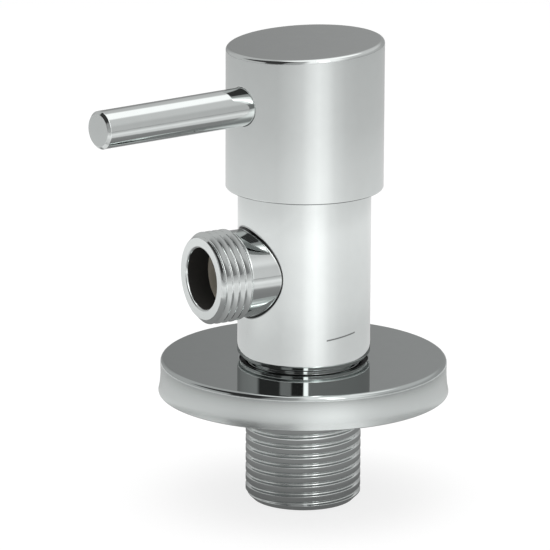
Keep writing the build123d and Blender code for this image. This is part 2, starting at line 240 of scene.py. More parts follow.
def thread(crest, pitch, flat, low, high, angles, ends, end_radii):
    """Right-handed thread round +Z, as a grid whose rows rise by one pitch in a turn.

    flat is the width of a crest in pitches, and angles run over a whole turn, first and last included.
    ends(height, radius) cuts the lead-in and the run-out, and end_radii are the radii of the level rings at
    low and at high.
    """
    soft = CREST_SOFTNESS * tan(THREAD_LEAN)
    marks = (-flat / 2 + soft, flat / 2 - soft, flat / 2 + soft, 0.5 - THREAD_MEETING, 0.5 + THREAD_MEETING,
             1 - flat / 2 - soft, 1 - flat / 2 + soft)
    steps = (3, 4, 1, 6, 1, 4)
    rows = [np.linspace(a, b, n, endpoint=False) for a, b, n in zip(marks, marks[1:], steps)]
    base = np.arange(-1, ceil((high - low) / pitch) + 1)[:, None] + np.concatenate(rows)
    lift = (angles - angles[0]) / (2 * pi)
    height = np.clip(low + (base.reshape(-1, 1) + lift) * pitch, low, high)
    place = (height - low) / pitch - lift
    radius = ends(height, crest - pitch * (thread_height(0, flat) - thread_height(place, flat)))
    radius = np.where(height <= low, end_radii[0], np.where(height >= high, end_radii[1], radius))
    return np.stack((radius * np.cos(angles), radius * np.sin(angles), height), axis=-1)


# %% [markdown]
# The spout, the lever's hole and the key hole meet a round wall. Each edge is rolled, as if a small ball
# had run along it, at one distance from both cylinders. The strip that it leaves is the arc between its two
# points of contact. Beyond it, a patch spreads over the wall to a rectangular window in the wall's grid.

# %% Where a pipe or a hole meets a round wall
PATCH_ROWS = 9


def window_border(half_angle, low, high, columns, rows):
    """Steps round a window, from its lower left corner: angle off the middle, and height off the middle."""
    across = np.linspace(-half_angle, half_angle, columns, endpoint=False)
    upwards = np.linspace(low, high, rows, endpoint=False)
    angle = np.concatenate((across, np.full(rows, half_angle), -across, np.full(rows, -half_angle)))
    height = np.concatenate((np.full(columns, low), upwards, np.full(columns, high), low + high - upwards))
    return angle, height


def meeting(wall, pipe, rolling, side, border, rings=PATCH_ROWS, arcs=13):
    """Patch of wall and rolled edge round a pipe (side 1) or a hole (side -1), as one grid.

    The ball's centre is (c cos t, c sin t, sqrt(b^2 - x^2)) with c = pipe + rolling, b = wall + side *
    rolling. The edge runs from its contact with the wall to its contact with the pipe by turning one
    direction into the other. Returns the grid, the angles t, and how far out the pipe then starts.
    """
    angle, height = border
    turn = np.arctan2(height, wall * angle)
    centre_x = (pipe + rolling) * np.cos(turn)
    centre_y = (pipe + rolling) * np.sin(turn)
    ball_reach = wall + side * rolling
    centre_z = np.sqrt(ball_reach**2 - centre_x**2)
    centre = np.stack((centre_x, centre_y, centre_z), axis=-1)
    share = 1 - (1 - np.linspace(0, 1, rings)[:, None]) ** 1.4
    wall_angle = angle + (np.arctan2(centre_x, centre_z) - angle) * share
    wall_height = height + (centre_y - height) * share
    patch = np.stack((wall * np.sin(wall_angle), wall_height, wall * np.cos(wall_angle)), axis=-1)
    to_wall = np.stack((centre_x, 0 * centre_x, centre_z), axis=-1) * (-side / ball_reach)
    to_pipe = -np.stack((np.cos(turn), np.sin(turn), 0 * turn), axis=-1)
    opening = np.arccos(np.clip((to_wall * to_pipe).sum(-1), -1, 1))[:, None]
    steps = np.linspace(0, 1, arcs)[1:, None, None]
    mixed = np.sin((1 - steps) * opening) * to_wall + np.sin(steps * opening) * to_pipe
    strip = centre + rolling * mixed / np.sin(opening)
    return np.concatenate((patch, strip)), turn, centre_z


def tube(radii, turn, distances):
    """Grid round +Z through rings given by radius and distance, each one number or one per angle."""
    rings = [np.stack(np.broadcast_arrays(r * np.cos(turn), r * np.sin(turn), z + 0 * turn), axis=-1)
             for r, z in zip(radii, distances)]
    return np.stack(rings)


def swung_tube(radius, turn, start, other_turn, end, rings=5):
    """Grid round +Z from one ring to another whose angles differ a little, swinging over on the way."""
    swing = (other_turn - turn + pi) % (2 * pi) - pi
    shares = np.linspace(0, 1, rings)
    return np.concatenate([tube([radius], turn + swing * s, [start + (end - start) * s]) for s in shares])


def wall_between(radius, angles, windows, heights):
    """Open sheets of a round wall between its windows, which are pairs of column numbers."""
    count = len(angles)
    ends = windows[1:] + [(windows[0][0] + count, None)]
    for (_, start), (stop, _) in zip(windows, ends):
        yield spin(line(radius, heights), angles[np.arange(start, stop + 1) % count])


# %% [markdown]
# ## Finishes
#
# Bright chrome is a mirror with small faults: the buffing wheel leaves it a little wavy, and handling leaves
# a faint haze that softens the reflection in places. Every plated piece has both, so they are one node
# group with its own numbers for each piece.

# %% Node helpers
def feed(tree, socket, value):
    """Sets an input to a plain value, or links it to a socket or to the first output of a node."""
    if isinstance(value, bpy.types.Node):
        value = value.outputs[0]
    if isinstance(value, bpy.types.NodeSocket):
        tree.links.new(value, socket)
    else:
        socket.default_value = value


def add(tree, kind, *sources, **values):
    """Shader node. Sources feed its inputs in order. Values name settings, or inputs with _ for a space."""
    node = tree.nodes.new("ShaderNode" + kind)
    for name, value in values.items():
        if hasattr(node, name):
            setattr(node, name, value)
        else:
            feed(tree, node.inputs[name.replace("_", " ")], value)
    for socket, value in zip(node.inputs, sources):
        feed(tree, socket, value)
    return node


def maths(tree, operation, *sources):
    """A number worked out from nodes, sockets or plain numbers."""
    return add(tree, "Math", *sources, operation=operation)


def span(tree, share, low, high):
    """Maps a share from 0..1 to low..high."""
    return add(tree, "MapRange", Value=share, To_Min=low, To_Max=high)


def blend(tree, share, one, other, how="MIX"):
    """Colour that goes from one to the other as the share goes from 0 to 1. Returns the socket."""
    node = add(tree, "Mix", data_type="RGBA", blend_type=how)
    for index, value in ((0, share), (6, one), (7, other)):
        feed(tree, node.inputs[index], value)
    return node.outputs[2]


def group(name, inputs):
    """Group that makes a colour, a roughness and a height. Returns its tree, what it is given and makes."""
    tree = bpy.data.node_groups.new(name, "ShaderNodeTree")
    outputs = {"Colour": COLOUR, "Roughness": FLOAT, "Height": FLOAT}
    for way, sockets in (("INPUT", inputs), ("OUTPUT", outputs)):
        for label, kind in sockets.items():
            tree.interface.new_socket(label, in_out=way, socket_type=kind)
    return tree, tree.nodes.new("NodeGroupInput").outputs, tree.nodes.new("NodeGroupOutput").inputs


def on_group(shared, name, tone, depth, **numbers):
    """Material with the colour and roughness of a group, and its height as a bump of the given depth."""
    material = bpy.data.materials.new(name)
    material.use_nodes = True
    material.diffuse_color = (*tone, 1)
    tree = material.node_tree
    stuff = add(tree, "Group", node_tree=shared, **numbers)
    bump = add(tree, "Bump", Strength=1.0, Distance=depth, Height=stuff.outputs["Height"])
    shader = tree.nodes["Principled BSDF"].inputs
    feed(tree, shader["Base Color"], stuff.outputs["Colour"])
    feed(tree, shader["Roughness"], stuff.outputs["Roughness"])
    feed(tree, shader["Normal"], bump)
    return material


# %% Buffed metal group
FLOAT, COLOUR, VECTOR = "NodeSocketFloat", "NodeSocketColor", "NodeSocketVector"
BUFFED = (2600.0, 2600.0, 130.0)
TURNED = (90.0, 90.0, 5200.0)


def make_buffed():
    """Buffed metal: slow waves as height, haze as roughness, and a slight change of tone.

    Waves are smooth noise a few millimetres wide. Haze is finer noise raised to a power, so that most of
    it is clear. Marks are noise stretched along Z where a wheel has buffed, round Z where a lathe turned.
    """
    tree, given, made = group("buffed_metal", {
        "Tone": COLOUR, "Clear": FLOAT, "Hazy": FLOAT, "Wave Width": FLOAT, "Wave Height": FLOAT,
        "Mark Scale": VECTOR, "Mark Height": FLOAT})
    place = add(tree, "TexCoord").outputs["Object"]
    waves = add(tree, "TexNoise", Vector=place, Scale=given["Wave Width"], Detail=1.0, Roughness=0.4)
    haze = add(tree, "TexNoise", Vector=place, Scale=420.0, Detail=3.0, Roughness=0.6)
    stretched = add(tree, "Mapping", Vector=place, Scale=given["Mark Scale"])
    hairs = add(tree, "TexNoise", Vector=stretched, Scale=1.0, Detail=2.0)
    level = span(tree, haze, 0.965, 1.02)
    marks = span(tree, hairs, 0.0, given["Mark Height"])
    feed(tree, made["Colour"],
         blend(tree, 1.0, given["Tone"], add(tree, "CombineColor", level, level, level), "MULTIPLY"))
    feed(tree, made["Roughness"], span(tree, maths(tree, "POWER", haze, 2.5), given["Clear"], given["Hazy"]))
    feed(tree, made["Height"], maths(tree, "MULTIPLY_ADD", waves, given["Wave Height"], marks))
    return tree


buffed = make_buffed()
WAVE_DEPTH = 0.02 * MM


def metal(name, tone, clear, hazy, waves=1.0, wave_width=120.0, marks=BUFFED, mark_height=0.012, dull=False):
    """A plated or bare metal on the buffed group. A dull one mirrors nothing; the dull ones are the painted
    shade and the painted light in the spout's bore.
    """
    material = on_group(buffed, name, tone, WAVE_DEPTH, Tone=(*tone, 1), Clear=clear, Hazy=hazy,
                        Wave_Height=waves, Wave_Width=wave_width, Mark_Scale=marks, Mark_Height=mark_height)
    shader = material.node_tree.nodes["Principled BSDF"].inputs
    shader["Metallic"].default_value = 0.0 if dull else 1.0
    shader["Specular IOR Level"].default_value = 0.0 if dull else 0.5
    return material


# %% [markdown]
# The barrel has one fine dark line, a scratch or a mould line. It is drawn in the chrome's colour, because
# it has no depth that would show.

# %% Chrome, brass and sheet
def scratched(material, start, end, width):
    """Adds a fine dark line on the barrel between two places, each given by its turn round Z and its height.

    Its mask is 1 - |height off the line| / width, cut off at 0, times a step at either end of the turn.
    """
    tree = material.node_tree
    place = add(tree, "SeparateXYZ", add(tree, "TexCoord").outputs["Object"]).outputs
    turn = maths(tree, "ARCTAN2", place["Y"], place["X"])
    share = maths(tree, "DIVIDE", maths(tree, "SUBTRACT", turn, start[0]), end[0] - start[0])
    line = maths(tree, "MULTIPLY_ADD", share, end[1] - start[1], start[1])
    off = maths(tree, "ABSOLUTE", maths(tree, "SUBTRACT", place["Z"], line))
    mask = maths(tree, "MAXIMUM", maths(tree, "SUBTRACT", 1.0, maths(tree, "DIVIDE", off, width)), 0.0)
    for step in (maths(tree, "GREATER_THAN", share, 0.0), maths(tree, "LESS_THAN", share, 1.0)):
        mask = maths(tree, "MULTIPLY", mask, step)
    base = tree.nodes["Principled BSDF"].inputs["Base Color"]
    feed(tree, base, blend(tree, mask, base.links[0].from_socket, (0.03, 0.03, 0.03, 1)))


PLATING = (0.822, 0.855, 0.846)
line_start = radians(-10.3), 32.47 * MM
line_end = radians(19.3), 33.15 * MM
chrome_body = metal("chrome_on_body", PLATING, 0.035, 0.10, 0.35)
scratched(chrome_body, line_start, line_end, 0.2 * MM)
chrome_cap = metal("chrome_on_cap", PLATING, 0.05, 0.13, 0.35)
chrome_lever = metal("chrome_on_lever", PLATING, 0.035, 0.10, 0.25)
chrome_plate = metal("polished_sheet", (0.605, 0.64, 0.632), 0.03, 0.08, 0.3, 90.0)
raw_brass = metal("raw_brass", (0.62, 0.50, 0.30), 0.22, 0.42, 0.6, 500.0)
# Painted light: a pale lining that mirrors nothing, for the ring in the spout's bore where light falls in.
pale_brass = metal("pale_brass", (0.86, 0.80, 0.68), 0.5, 0.8, 0.6, 500.0, dull=True)
# Painted shade: a near-black lining that mirrors nothing, for the spout's bore, port and chamber patch.
dark_brass = metal("dark_brass", (0.05, 0.048, 0.045), 0.5, 0.8, 0.6, 500.0, dull=True)
satin_sheet = metal("satin_sheet", (0.75, 0.785, 0.775), 0.22, 0.3, 0.8, 90.0)
# Painted reflection: a near-black chrome for a strip of the spout's rolled corner, a painted dark
# reflection.
corner_chrome = metal("corner_chrome", (0.07, 0.072, 0.07), 0.06, 0.14, 1.0)
dull_sheet = metal("dull_sheet", (0.42, 0.43, 0.43), 0.28, 0.45, 1.0, 160.0)
print("made", len(bpy.data.materials), "materials")

# %% [markdown]
# ## The valve body
#
# Shank, barrel and spout are one brass casting, turned and threaded, then plated outside. The skin follows
# the machining: the shank's helix, the groove where the tool runs out, the plain seat for the wall plate,
# the barrel's rolled foot, and the spout with its own thread.

# %% Body sizes
SHANK_PITCH = 1.814 * MM
SPOUT_PITCH = 1.337 * MM
SHANK_FLAT = 0.55  # width of a crest, in pitches
SPOUT_FLAT = 0.14
shank_thread_end = 18.5 * MM
groove_radius = shank_radius - 1.1 * MM
plate_seat_radius = shank_radius - 0.25 * MM
plate_seat_low = 20.0 * MM
plate_seat_high = 25.9 * MM
barrel_low = 27.5 * MM
barrel_edge = 0.3 * MM
shoulder_low = 26.8 * MM
shoulder_radius = barrel_radius - 0.73 * MM
lead = 1.2 * MM
neck_radius = spout_radius - 0.43 * MM
neck_end = 15.0 * MM
spout_lead = 0.9 * MM
spout_rolling = 0.7 * MM
port_radius = 4.6 * MM
port_end = 10.0 * MM
port_start = port_end - 0.3 * MM
chamber_radius = 9.3 * MM
chamber_top = 50.02 * MM
thread_hole_radius = 10.28 * MM
thread_hole_low = 51.0 * MM
mouth_chamfer = 0.4 * MM
mouth_plating = 0.4 * MM
soft_edge = 0.12 * MM
# Rows of the spout's rolled edge that get the painted dark reflection.
PAINTED_REFLECTION_ROWS = 3, 9
plated_depth = 4.6 * MM
# Depths into the spout's bore: painted shade down to the first, a ring of painted light down to the second,
# then painted shade again.
painted_shade_end = 4.6 * MM
painted_light_end = 7.0 * MM

BODY_STEP = radians(2)
body_window = radians(56)
body_columns = 56
body_rows = 28
window_low = -13.2 * MM
window_high = 13.0 * MM
body_angles = spout_azimuth - body_window + BODY_STEP * np.arange(180)
whole_turn = np.append(body_angles, body_angles[0] + 2 * pi)
chamber_columns = 48
chamber_rows = body_columns + body_rows - chamber_columns
chamber_first = (body_columns - chamber_columns) // 2
chamber_window = chamber_columns / 2 * BODY_STEP
chamber_low = seat_level + 1.5 * MM
# Finishes 2 to 4 paint light and shade: painted shade in the bore, a ring of painted light in it, and a
# painted dark reflection in the rolled corner.
CHROME, BRASS, PAINTED_SHADE, PAINTED_LIGHT, PAINTED_REFLECTION = 0, 1, 2, 3, 4

# %% Body skin
def shank_ends(height, radius):
    """Cuts the cone of the lead-in at the free end, and runs the thread out into the groove."""
    radius = soft_min(radius, shank_radius - lead + height)
    left = shank_thread_end - height
    radius = soft_min(radius, groove_radius + 1.2 * left)
    return -soft_min(-radius, -(groove_radius - 0.6 * left))


def spout_ends(height, radius):
    """The same for the spout: fades the thread in from the neck, and cuts the lead at the mouth."""
    left = height - neck_end
    radius = soft_min(radius, neck_radius + left)
    radius = -soft_min(-radius, -(neck_radius - 0.5 * left))
    return soft_min(radius, spout_radius - spout_lead + (spout_reach - height))


def body_outside():
    """Sheets from the end of the shank up to the rim of the barrel, without the window of the spout."""
    shank = thread(shank_radius, SHANK_PITCH, SHANK_FLAT, 0.0, shank_thread_end, whole_turn, shank_ends,
                   (shank_radius - lead, groove_radius))
    turned = rounded([
        (groove_radius, shank_thread_end), (groove_radius, plate_seat_low, 0.2 * MM),
        (plate_seat_radius, plate_seat_low, soft_edge), (plate_seat_radius, plate_seat_high, soft_edge),
        (groove_radius, plate_seat_high), (groove_radius, shoulder_low, 0.1 * MM),
        (shoulder_radius, shoulder_low, soft_edge), (shoulder_radius, barrel_low),
        (barrel_radius, barrel_low, barrel_edge), (barrel_radius, spout_level + window_low)])
    heights = np.linspace(spout_level + window_low, spout_level + window_high, body_rows + 1)
    band = wall_between(barrel_radius, body_angles, [(0, body_columns)], heights)
    return [sheet(shank, False), sheet(spin(turned, body_angles))] + [sheet(grid, False) for grid in band]


def body_inside():
    """Sheets from the rim of the barrel down the chamber and the inlet bore to the end of the shank."""
    rim = rounded([
        (barrel_radius, spout_level + window_high), (barrel_radius, barrel_top, soft_edge),
        (thread_hole_radius + mouth_chamfer, barrel_top)])
    upper = rounded([
        (thread_hole_radius + mouth_chamfer, barrel_top),
        (thread_hole_radius, barrel_top - mouth_chamfer), (thread_hole_radius, thread_hole_low),
        (chamber_radius, chamber_top)])
    lower = rounded([
        (chamber_radius, chamber_low), (chamber_radius, seat_level, 0.15 * MM),
        (shank_bore, seat_level, soft_edge), (shank_bore, plated_depth)])
    end = rounded([(shank_bore, plated_depth), (shank_bore, 0, 0.3 * MM), (shank_radius - lead, 0)])
    heights = np.linspace(chamber_low, chamber_top, chamber_rows + 1)
    window = (chamber_first, chamber_first + chamber_columns)
    band = wall_between(chamber_radius, body_angles, [window], heights)
    plated = [sheet(spin(rim, body_angles)), sheet(spin(end, body_angles))]
    bare = [sheet(spin(upper, body_angles), True, BRASS), sheet(spin(lower, body_angles), True, BRASS)]
    return plated + bare + [sheet(grid, False, BRASS) for grid in band]


# %% [markdown]
# The spout is one strip of grid from the outside of the barrel to the inside of its chamber: the rolled
# corner, the neck, the thread, the flat mouth and the bore. The bore is painted dark, a painted shade that
# mirrors nothing, but for a ring of painted light, the warm patch seen through the mouth where light falls
# in.
# A strip of the rolled corner is painted almost black, a painted dark reflection.
#
# The photograph was retouched: its barrel and cap mirror neither spout, lever nor wall plate. These are left
# out of the reflections, so the spout is an object of its own, joined along the start of the rolled corner.

# %% Spout skin
def spout_skin():
    """Sheets of the spout, made round +Z and then laid on their side."""
    outer_border = window_border(body_window, window_low, window_high, body_columns, body_rows)
    rolled, turn, start = meeting(barrel_radius, neck_radius, spout_rolling, 1, outer_border)
    neck = tube([neck_radius] * 5, turn, [start + (neck_end - start) * s for s in (0, 0.04, 0.5, 0.96, 1)])
    unwound = np.unwrap(np.append(turn, turn[0] + 2 * pi))
    cut = thread(spout_radius, SPOUT_PITCH, SPOUT_FLAT, neck_end, spout_reach, unwound, spout_ends,
                 (neck_radius, spout_radius - spout_lead))
    mouth = rounded([
        (spout_radius - spout_lead, spout_reach), (spout_bore, spout_reach, 0.3 * MM),
        (spout_bore, spout_reach - mouth_plating)])
    # From the mouth inwards: painted shade, then a ring of painted light, then painted shade on to the port.
    marks = [spout_reach - depth for depth in (mouth_plating, painted_shade_end, painted_light_end)]
    painted_shade_band, painted_light_ring = (rounded([(spout_bore, near), (spout_bore, far)])
                      for near, far in zip(marks, marks[1:]))
    deeper = rounded([
        (spout_bore, marks[-1]), (spout_bore, port_end, 0.1 * MM), (port_radius, port_end, soft_edge),
        (port_radius, port_start)])
    inner_border = window_border(chamber_window, chamber_low - spout_level, chamber_top - spout_level,
                                 chamber_columns, chamber_rows)
    inner, inner_turn, inner_start = meeting(chamber_radius, port_radius, 0, -1, inner_border)
    port = swung_tube(port_radius, turn, port_start, inner_turn, inner_start)
    edge = rolled[PATCH_ROWS - 1:]
    # The rows between first and last of the rolled edge carry the painted dark reflection.
    first, last = PAINTED_REFLECTION_ROWS
    made = [(edge[:first + 1], True, CHROME), (edge[first:last + 1], True, PAINTED_REFLECTION),
            (edge[last:], True, CHROME), (neck, True, CHROME), (cut, False, CHROME)]
    made += [(tube(profile[:, 0], turn, profile[:, 1]), True, finish)
             for profile, finish in ((mouth, CHROME), (painted_shade_band, PAINTED_SHADE), (painted_light_ring, PAINTED_LIGHT), (deeper, PAINTED_SHADE))]
    made += [(port, True, PAINTED_SHADE), (inner, True, PAINTED_SHADE)]
    laid = [sheet(aim(grid, spout_azimuth, spout_level), closed, finish) for grid, closed, finish in made]
    return [sheet(aim(rolled[:PATCH_ROWS], spout_azimuth, spout_level)), laid.pop()], laid


patches, pipe = spout_skin()
body_finishes = [chrome_body, raw_brass, dark_brass, pale_brass, corner_chrome]
body = weld("body_casting", body_outside() + body_inside() + patches, body_finishes)
spout = weld("spout_pipe", pipe, body_finishes)
spout.visible_glossy = False
for piece in (body, spout):
    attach(piece, "body")
    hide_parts("valve_body")

# %% [markdown]
# ## The handle cap
#
# The cap is cast hollow, turned round and cut off at a slant. A ball rolled along the slanted edge gives the
# top its thin bright line, the arc between its contacts with the wall and the plane. The lever goes in at
# one side, and the key hole is opposite.

# %% Cap sizes
cap_radius = cap_high.x
cap_bore = cap_radius - 1.8 * MM
cap_foot = cap_low.z
cap_ceiling = cap_foot + 22.9 * MM
cap_edge = 0.75 * MM
cap_slant = radians(3.1)
cap_high_side = lever_azimuth + radians(160)
cap_middle = cap_high.z - (cap_radius - cap_edge) * tan(cap_slant) + cap_edge / cos(cap_slant) - cap_edge
lever_level = cap_foot + 16.6 * MM
lever_hole = 3.53 * MM
lever_hole_edge = 0.15 * MM
key_hole = 2.8 * MM
key_hole_edge = 0.15 * MM
hub_radius = 8.2 * MM
hub_low = 70.12 * MM
lever_pocket = 7.3 * MM
stud_hole = 2.53 * MM
blind_end = 4.2 * MM
socket_tip = 4.05 * MM
socket_root = 3.6 * MM
socket_top = 78.39 * MM
SPLINE_TEETH = 20

CAP_STEP = radians(1.5)
half_turn = 120
cap_columns = 32
cap_rows = 16
cap_reach = 5.8 * MM
cap_angles = lever_azimuth - cap_columns / 2 * CAP_STEP + CAP_STEP * np.arange(2 * half_turn)
cap_windows = [(start, start + cap_columns) for start in (0, half_turn)]
hub_columns = 44
hub_rows = 12
hub_window_low = -4.3 * MM
hub_window_high = 5.0 * MM
hub_margin = (hub_columns - cap_columns) // 2
hub_windows = [(start - hub_margin, end + hub_margin) for start, end in cap_windows]

# %% Cap skin
def cap_top():
    """Rolled edge and slanted top, as a grid from the edge of the round wall in to the middle."""
    outwards = np.stack((np.cos(cap_angles), np.sin(cap_angles), 0 * cap_angles), axis=-1)
    lean = -sin(cap_slant)
    normal = np.array((lean * cos(cap_high_side), lean * sin(cap_high_side), cos(cap_slant)))
    rise = (cap_radius - cap_edge) * np.cos(cap_angles - cap_high_side) * tan(cap_slant)
    centre = (cap_radius - cap_edge) * outwards
    centre[:, 2] = cap_middle + rise - cap_edge / cos(cap_slant)
    opening = np.arccos(outwards @ normal)[:, None]
    steps = np.linspace(0, 1, 13)[:, None, None]
    mixed = np.sin((1 - steps) * opening) * outwards + np.sin(steps * opening) * normal
    edge = centre + cap_edge * mixed / np.sin(opening)
    low = lever_level + cap_reach
    shares = np.array((0, 0.02, 0.5, 0.98))[:, None, None]
    wall = edge[:1] + (edge[:1] * (1, 1, 0) + (0, 0, low) - edge[:1]) * (1 - shares)
    middle = np.array((0, 0, cap_middle))
    disc = middle + (edge[-1:] - middle) * np.array((0.996, 0.6, 0.2, 0))[:, None, None]
    return np.concatenate((wall, edge, disc))


def cross_holes(azimuth, hole, edge, pocket, floor):
    """Sheets of one hole through the cap's wall and on into its hub, made round +Z and laid down."""
    border = window_border(cap_columns / 2 * CAP_STEP, -cap_reach, cap_reach, cap_columns, cap_rows)
    outer, turn, start = meeting(cap_radius, hole, edge, -1, border)
    inner, inner_turn, end = meeting(cap_bore, hole, 0, -1, border)
    through = swung_tube(hole, turn, start, inner_turn, end, 3)
    half = hub_columns / 2 * CAP_STEP
    border = window_border(half, hub_window_low, hub_window_high, hub_columns, hub_rows)
    hub, hub_turn, face = meeting(hub_radius, pocket, 0, -1, border)
    radii = (pocket, pocket, stud_hole, stud_hole, 0)
    blind = tube(radii, hub_turn, (face, floor, floor, blind_end, blind_end))
    return [sheet(aim(grid, azimuth, lever_level)) for grid in (outer, through, inner, hub, blind)]


def spline_socket():
    """Sheet of the hub's underside and its splined socket. Each tooth is a trapezoid on 12 columns."""
    shares = np.array((0, 1 / 12, 2 / 12, 0.25, 0.3, 0.35, 0.4, 0.49, 0.58, 0.67, 0.76, 0.85))
    angles = ((np.arange(SPLINE_TEETH)[:, None] + shares) * 2 * pi / SPLINE_TEETH).reshape(-1)
    radii = np.tile(np.interp(shares, (0.25, 0.4), (socket_root, socket_tip)), SPLINE_TEETH)
    offset = np.argmin(np.abs((angles - cap_angles[0] + pi) % (2 * pi) - pi))
    angles, radii = np.roll(angles, -offset), np.roll(radii, -offset)
    outer = tube([hub_radius], cap_angles, [hub_low])
    socket = tube((radii, radii, 0 * radii), angles, (hub_low, socket_top, socket_top))
    return np.concatenate((outer, socket))


def cap_skin():
    """All sheets of the cap."""
    foot = rounded([
        (cap_bore, lever_level - cap_reach), (cap_bore, cap_foot, 0.1 * MM),
        (cap_radius, cap_foot, 0.3 * MM), (cap_radius, lever_level - cap_reach)])
    ceiling = rounded([
        (cap_bore, lever_level + cap_reach), (cap_bore, cap_ceiling), (hub_radius, cap_ceiling),
        (hub_radius, lever_level + hub_window_high)])
    hub_end = rounded([(hub_radius, lever_level + hub_window_low), (hub_radius, hub_low)])
    heights = np.linspace(lever_level - cap_reach, lever_level + cap_reach, cap_rows + 1)
    hub_heights = np.linspace(lever_level + hub_window_low, lever_level + hub_window_high, hub_rows + 1)
    made = [sheet(spin(profile, cap_angles)) for profile in (foot, ceiling, hub_end)]
    made += [sheet(cap_top()), sheet(spline_socket())]
    for radius, windows, rows in ((cap_radius, cap_windows, heights), (cap_bore, cap_windows, heights),
                                  (hub_radius, hub_windows, hub_heights)):
        made += [sheet(grid, False) for grid in wall_between(radius, cap_angles, windows, rows)]
    made += cross_holes(lever_azimuth, lever_hole, lever_hole_edge, lever_hole, lever_pocket)
    made += cross_holes(lever_azimuth + pi, key_hole, key_hole_edge, stud_hole, blind_end + 1.0 * MM)
    return made


cap = weld("cap_shell", cap_skin(), [chrome_cap])
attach(cap, "handle")
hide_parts("handle_cap")

# %% [markdown]
# ## The lever and the wall plate
#
# The lever is turned bar with a bevelled tip, and its thinner stud sits in the cap. The wall plate is
# pressed sheet with a soft top edge, a faintly hollow side and a flared lip, folded down into a collar
# inside. Both are profiles carried round an axis. The barrel's shoulder mirrors the plate's middle, so that
# stays in the reflections, as an object of its own.

# %% Lever
stud_radius = 2.5 * MM
stud_end = 4.5 * MM
lever_foot = 7.5 * MM
lever_foot_radius = 3.5 * MM
lever_tip = 45.2 * MM
lever_tip_radius = 3.4 * MM
lever_bevel = 0.5 * MM
lever_profile = rounded([
    (0, stud_end), (stud_radius, stud_end, 0.2 * MM), (stud_radius, lever_foot),
    (lever_foot_radius, lever_foot, 0.15 * MM), (lever_tip_radius, lever_tip - lever_bevel, 0.15 * MM),
    (lever_tip_radius - lever_bevel, lever_tip, 0.12 * MM), (0, lever_tip)])
lever_angles = np.linspace(0, 2 * pi, 144, endpoint=False)
lever_skin = aim(spin(lever_profile, lever_angles), lever_azimuth, lever_level)
lever = weld("lever_bar", [sheet(lever_skin)], [chrome_lever])
lever.visible_glossy = False
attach(lever, "handle")
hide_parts("lever_rod")

# %% Wall plate
plate_top = plate_high.z
plate_foot = plate_low.z
plate_rim = plate_high.x
plate_flare = 0.3 * MM
plate_edge = plate_rim - plate_flare
plate_waist = 0.13 * MM
plate_lip = plate_foot + 1.6 * MM
plate_sheet = 0.8 * MM
plate_corner = 0.8 * MM
collar_low = plate_top - 4.6 * MM
collar_middle = plate_top - 2.0 * MM
collar_inner = grip_high.x
collar_outer = collar_inner + plate_sheet
mirror_radius = 16.0 * MM


def hollow_side(radius, low, high, count=11):
    """Corners up a side that is hollow by the waist: radius - waist (1 - s^2), with s from -1 to 1."""
    place = np.linspace(-1, 1, count)
    heights = low + (high - low) * (place + 1) / 2
    return [(radius - plate_waist * (1 - s * s), height) for s, height in zip(place, heights)]


def flared_lip(radius, count=8):
    """Corners up the lip, which bends out by the flare times 0.52 t (1 - t) + t^2, with t from 1 to 0."""
    share = np.linspace(1, 0, count)
    radii = radius + plate_flare * (0.52 * share * (1 - share) + share**2)
    return list(zip(radii, plate_lip + (plate_foot - plate_lip) * share))


outer_side = flared_lip(plate_edge)[1:-1] + hollow_side(plate_edge, plate_lip, plate_top)
inner_lip = flared_lip(plate_edge - plate_sheet)
plate_under = plate_top - plate_sheet
inner_side = inner_lip[:-1] + hollow_side(plate_edge - plate_sheet, plate_lip, plate_under)
plate_outside = rounded(
    [(collar_inner, collar_middle), (collar_inner, plate_top, 0.25 * MM),
     (plate_edge, plate_top, plate_corner)]
    + outer_side[-3::-1] + [(plate_rim, plate_foot, 0.15 * MM), (plate_rim - plate_sheet, plate_foot)])
plate_inside = rounded(inner_side[:-1] + [
    (plate_edge - plate_sheet, plate_under, 0.2 * MM), (collar_outer, plate_under, 0.4 * MM),
    (collar_outer, collar_low, 0.1 * MM), (collar_inner, collar_low, 0.1 * MM),
    (collar_inner, collar_middle)])
plate_angles = np.linspace(0, 2 * pi, 300, endpoint=False)
below_corner = plate_top - plate_corner - 0.01 * MM
side_start = int(np.flatnonzero(plate_outside[:, 1] > below_corner)[-1])
split = int(np.flatnonzero(plate_outside[:, 0] > mirror_radius)[0])
seam = np.array(((mirror_radius, plate_top),))
middle_sheets = [sheet(spin(np.concatenate((plate_outside[:split], seam)), plate_angles))]
plate_sheets = [sheet(spin(np.concatenate((seam, plate_outside[split:side_start + 1])), plate_angles)),
                sheet(spin(plate_outside[side_start:], plate_angles), True, 2),
                sheet(spin(plate_inside, plate_angles), True, 1)]
plate_finishes = [chrome_plate, dull_sheet, satin_sheet]
plate = weld("plate_shell", plate_sheets, plate_finishes)
plate_middle = weld("plate_middle", middle_sheets, plate_finishes)
plate.visible_glossy = False
for piece in (plate, plate_middle):
    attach(piece, "wall_plate")
    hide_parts("escutcheon")
print("the plate's hole is", round(2 * collar_inner / MM, 2), "mm across")

# %% [markdown]
# ## The pieces inside
#
# The cartridge and its rings keep their solid shapes, and hardly show through the bores and the key hole.
# Turned brass has fine rings, rubber is dull with a dusty bloom, fired ceramic is smooth and almost white,
# and the washer is a waxy plastic.

